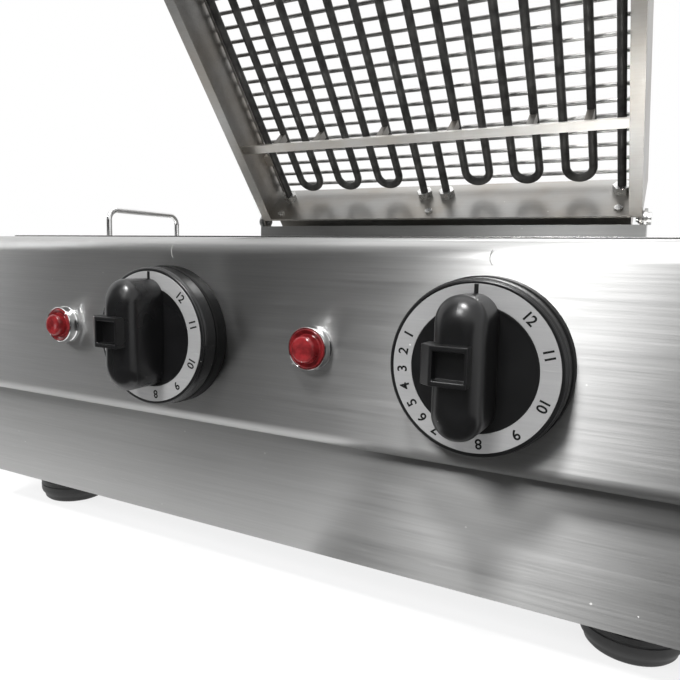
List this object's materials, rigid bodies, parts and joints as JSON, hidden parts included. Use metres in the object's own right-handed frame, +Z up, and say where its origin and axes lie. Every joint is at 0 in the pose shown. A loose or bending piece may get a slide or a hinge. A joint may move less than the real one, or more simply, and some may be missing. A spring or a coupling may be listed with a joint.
{
  "type": "countertop electric grill",
  "caption": "Countertop electric grill with two heating zones, a lift-out liquid pan and a hinged cooking frame with tube elements and a wire grid.",
  "frame": {"origin": "on the floor, under the middle of the unit's bounding box", "axes": "+X to the unit's right as its user sees it, +Y towards the back, +Z up"},
  "size_m": [0.45, 0.3392, 0.4177],
  "materials": {
    "brushed_steel": "stainless sheet, level fine grain",
    "casing_steel": "stainless sheet, soft grain",
    "frame_steel": "stainless sheet, dulled by heat",
    "bar_steel": "plain steel strip",
    "pan_steel": "deep-drawn stainless, satin",
    "zinc_steel": "zinc-coated sheet",
    "screw_steel": "bright zinc",
    "washer_steel": "black oxide",
    "sheath_steel": "oxidised element sheath, nearly black",
    "wire_steel": "drawn wire, dulled by heat",
    "chrome_rod": "bright rod",
    "lamp_chrome": "bright chrome",
    "lamp_red": "clear red lens",
    "knob_plastic": "black phenolic, satin",
    "collar_plastic": "black plastic",
    "dial_aluminium": "silver with black numbers",
    "regulator_resin": "moulded resin",
    "gland_plastic": "black polyamide",
    "ceramic_white": "unglazed steatite",
    "rubber_black": "black rubber"
  },
  "bodies": {
    "base": {"hood": "brushed_steel", "lower_casing": "casing_steel", "base_plate": "zinc_steel", "rear_panel": "casing_steel", "feet": "rubber_black", "foot_screws": "screw_steel", "hood_screws": "screw_steel", "rear_screws": "screw_steel", "heat_shield": "zinc_steel", "terminal_block": "ceramic_white", "cable_gland": "gland_plastic", "gland_nut": "gland_plastic", "hinge_bracket": "casing_steel", "bracket_screws": "screw_steel", "hinge_pins": "screw_steel", "friction_washers": "washer_steel", "retaining_rings": "washer_steel", "collar_left": "collar_plastic", "collar_right": "collar_plastic", "regulator_left": "regulator_resin", "regulator_right": "regulator_resin", "regulator_screws": "screw_steel", "lamp_bezel_left": "lamp_chrome", "lamp_bezel_right": "lamp_chrome", "lamp_lens_left": "lamp_red", "lamp_lens_right": "lamp_red", "lamp_body_left": "gland_plastic", "lamp_body_right": "gland_plastic", "lamp_nuts": "screw_steel"},
    "liquid_pan": {"pan": "pan_steel", "pan_handle_left": "chrome_rod", "pan_handle_right": "chrome_rod"},
    "tilting_frame": {"cooking_frame": "frame_steel", "support_bars": "bar_steel", "element_clips": "sheath_steel", "element_left": "sheath_steel", "element_right": "sheath_steel", "element_glands": "screw_steel", "gland_lock_nuts": "screw_steel", "ceramic_beads": "ceramic_white", "terminal_studs": "screw_steel", "terminal_cover": "frame_steel", "cover_screws": "screw_steel", "grid": "wire_steel", "grid_clips": "frame_steel", "frame_rests": "rubber_black", "handle_posts": "chrome_rod", "handle_grip": "knob_plastic"},
    "turning_knob_left": {"knob_left": "knob_plastic", "dial_left": "dial_aluminium", "shaft_left": "screw_steel"},
    "turning_knob_right": {"knob_right": "knob_plastic", "dial_right": "dial_aluminium", "shaft_right": "screw_steel"}
  },
  "joints": [
    {"name": "frame_tilt", "type": "hinge", "parent": "base", "child": "tilting_frame", "pos_m": [0, 0.12555, 0.2], "axis": [-1, 0, 0], "range_deg": [-49.5, 30]},
    {"name": "pan_lift", "type": "slide", "parent": "base", "child": "liquid_pan", "axis": [0, 0, 1], "range_m": [0, 0.016]},
    {"name": "knob_left_turn", "type": "hinge", "parent": "base", "child": "turning_knob_left", "pos_m": [-0.0444, -0.14245, 0.127], "axis": [0, 1, 0], "range_deg": [0, 320]},
    {"name": "knob_right_turn", "type": "hinge", "parent": "base", "child": "turning_knob_right", "pos_m": [0.1199, -0.14245, 0.127], "axis": [0, 1, 0], "range_deg": [0, 320]}
  ]
}
